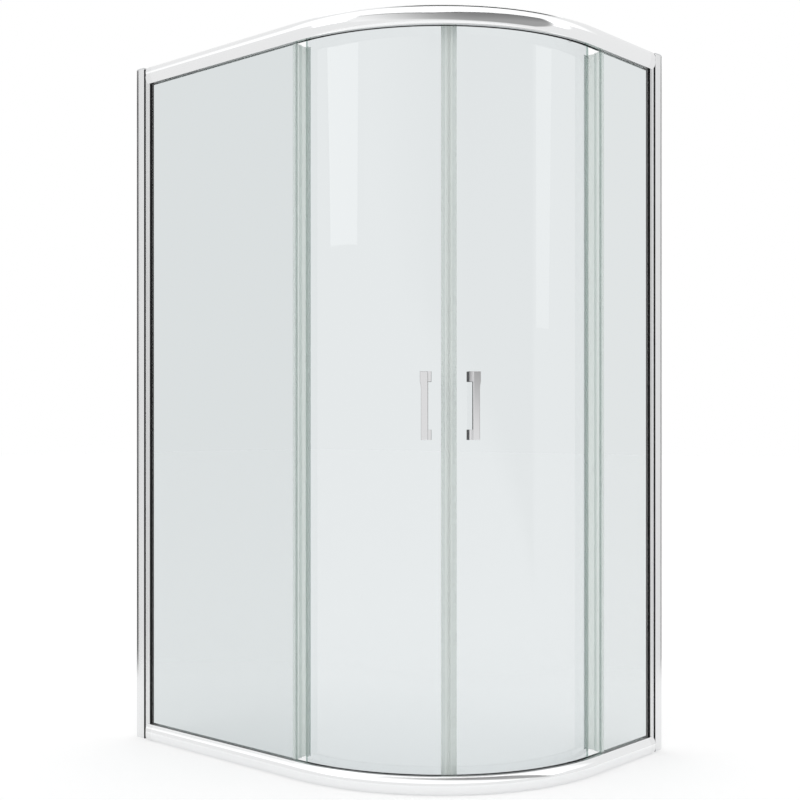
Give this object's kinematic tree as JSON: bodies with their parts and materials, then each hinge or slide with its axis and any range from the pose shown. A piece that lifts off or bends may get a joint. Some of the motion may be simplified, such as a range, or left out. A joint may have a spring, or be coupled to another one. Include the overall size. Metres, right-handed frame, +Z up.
{
  "type": "offset quadrant shower enclosure",
  "caption": "Offset quadrant shower enclosure with a straight fixed glass panel on each wall side and curved sliding doors between curved aluminium rails, with bar handles and wall channels",
  "frame": {"origin": "on the ground under the middle of the bounding box; the side wall is the plane at the lowest X and the back wall the plane at the highest Y", "axes": "+Z is up, X runs along the long side towards the short panel, -Y is out of the front of the long panel; the doors meet towards +X -Y"},
  "size_m": [1.195, 0.895, 1.9],
  "materials": {
    "rail_aluminium": "polished and clear anodised",
    "profile_aluminium": "polished and clear anodised",
    "adjusting_aluminium": "satin anodised",
    "grey_plastic": "moulded, to match the profiles",
    "black_rubber": "matt",
    "grey_rubber": "matt",
    "clear_glass": "clear toughened glass",
    "clear_seal": "translucent soft plastic",
    "magnet": "flexible magnet strip in a pale sleeve",
    "stainless_steel": "turned",
    "white_nylon": "moulded nylon",
    "chrome_cap": "polished chrome",
    "handle_chrome": "polished chrome"
  },
  "bodies": {
    "frame": {"adjusting_profile_long": "adjusting_aluminium", "adjusting_profile_short": "adjusting_aluminium", "bottom_rail": "rail_aluminium", "door_stops": "grey_rubber", "fixed_edge_seal_long": "clear_seal", "fixed_edge_seal_short": "clear_seal", "fixed_glass_long": "clear_glass", "fixed_glass_short": "clear_glass", "glazing_gasket_bottom": "clear_seal", "glazing_gasket_top": "clear_seal", "profile_wipers": "black_rubber", "rail_end_piece_bottom_long": "grey_plastic", "rail_end_piece_bottom_short": "grey_plastic", "rail_end_piece_top_long": "grey_plastic", "rail_end_piece_top_short": "grey_plastic", "side_screw_covers": "grey_plastic", "side_screws": "stainless_steel", "top_rail": "rail_aluminium", "wall_gasket_long": "black_rubber", "wall_gasket_short": "black_rubber", "wall_profile_caps": "grey_plastic", "wall_profile_long": "profile_aluminium", "wall_profile_short": "profile_aluminium"},
    "door_a": {"door_glass_a": "clear_glass", "drip_seal_a": "clear_seal", "handle_bar_a": "handle_chrome", "handle_bolts_a": "stainless_steel", "handle_feet_a": "handle_chrome", "handle_knobs_a": "handle_chrome", "handle_washers_a": "clear_seal", "magnet_strip_a": "magnet", "magnetic_seal_a": "clear_seal", "roller_axles_a": "stainless_steel", "roller_bushes_a": "white_nylon", "roller_caps_a": "chrome_cap", "trailing_seal_a": "clear_seal"},
    "door_b": {"door_glass_b": "clear_glass", "drip_seal_b": "clear_seal", "handle_bar_b": "handle_chrome", "handle_bolts_b": "stainless_steel", "handle_feet_b": "handle_chrome", "handle_knobs_b": "handle_chrome", "handle_washers_b": "clear_seal", "magnet_strip_b": "magnet", "magnetic_seal_b": "clear_seal", "roller_axles_b": "stainless_steel", "roller_bushes_b": "white_nylon", "roller_caps_b": "chrome_cap", "trailing_seal_b": "clear_seal"},
    "roller_a_bottom_lead_wheel": {"roller_a_bottom_lead": "white_nylon"},
    "roller_a_bottom_trail_wheel": {"roller_a_bottom_trail": "white_nylon"},
    "roller_a_top_lead_wheel": {"roller_a_top_lead": "white_nylon"},
    "roller_a_top_trail_wheel": {"roller_a_top_trail": "white_nylon"},
    "roller_b_bottom_lead_wheel": {"roller_b_bottom_lead": "white_nylon"},
    "roller_b_bottom_trail_wheel": {"roller_b_bottom_trail": "white_nylon"},
    "roller_b_top_lead_wheel": {"roller_b_top_lead": "white_nylon"},
    "roller_b_top_trail_wheel": {"roller_b_top_trail": "white_nylon"}
  },
  "joints": [
    {"name": "door_a_slide", "type": "hinge", "parent": "frame", "child": "door_a", "pos_m": [-0.0277, 0.3091, 0.95], "axis": [0, 0, -1], "range_deg": [0, 18.1]},
    {"name": "door_b_slide", "type": "hinge", "parent": "frame", "child": "door_b", "pos_m": [-0.1532, 0.1833, 0.95], "axis": [0, 0, 1], "range_deg": [0, 16.2]},
    {"name": "roller_a_bottom_lead_spin", "type": "hinge", "parent": "door_a", "child": "roller_a_bottom_lead_wheel", "pos_m": [0.38307, -0.30351, 0.0162], "axis": [-0.6361, 0.7716, 0], "range_deg": [0, 1330.5]},
    {"name": "roller_a_bottom_trail_spin", "type": "hinge", "parent": "door_a", "child": "roller_a_bottom_trail_wheel", "pos_m": [0.09262, -0.41222, 0.0162], "axis": [-0.0785, 0.9969, 0], "range_deg": [0, 1320.7]},
    {"name": "roller_a_top_lead_spin", "type": "hinge", "parent": "door_a", "child": "roller_a_top_lead_wheel", "pos_m": [0.38307, -0.30351, 1.8788], "axis": [-0.6361, 0.7716, 0], "range_deg": [-1330.5, 0]},
    {"name": "roller_a_top_trail_spin", "type": "hinge", "parent": "door_a", "child": "roller_a_top_trail_wheel", "pos_m": [0.09262, -0.41222, 1.8788], "axis": [-0.0785, 0.9969, 0], "range_deg": [-1320.7, 0]},
    {"name": "roller_b_bottom_lead_spin", "type": "hinge", "parent": "door_b", "child": "roller_b_bottom_lead_wheel", "pos_m": [0.45015, -0.23617, 0.0162], "axis": [-0.766, 0.6428, 0], "range_deg": [-1187.6, 0]},
    {"name": "roller_b_bottom_trail_spin", "type": "hinge", "parent": "door_b", "child": "roller_b_bottom_trail_wheel", "pos_m": [0.56409, 0.07963, 0.0162], "axis": [-0.9994, 0.0349, 0], "range_deg": [-1169.2, 0]},
    {"name": "roller_b_top_lead_spin", "type": "hinge", "parent": "door_b", "child": "roller_b_top_lead_wheel", "pos_m": [0.45015, -0.23617, 1.8788], "axis": [-0.766, 0.6428, 0], "range_deg": [0, 1187.6]},
    {"name": "roller_b_top_trail_spin", "type": "hinge", "parent": "door_b", "child": "roller_b_top_trail_wheel", "pos_m": [0.56409, 0.07963, 1.8788], "axis": [-0.9994, 0.0349, 0], "range_deg": [0, 1169.2]}
  ],
  "couplings": [
    {"joint": "roller_a_bottom_lead_spin", "follows": "door_a_slide", "ratio": 73.399},
    {"joint": "roller_a_bottom_trail_spin", "follows": "door_a_slide", "ratio": 72.854},
    {"joint": "roller_a_top_lead_spin", "follows": "door_a_slide", "ratio": -73.399},
    {"joint": "roller_a_top_trail_spin", "follows": "door_a_slide", "ratio": -72.854},
    {"joint": "roller_b_bottom_lead_spin", "follows": "door_b_slide", "ratio": -73.183},
    {"joint": "roller_b_bottom_trail_spin", "follows": "door_b_slide", "ratio": -72.047},
    {"joint": "roller_b_top_lead_spin", "follows": "door_b_slide", "ratio": 73.183},
    {"joint": "roller_b_top_trail_spin", "follows": "door_b_slide", "ratio": 72.047}
  ]
}
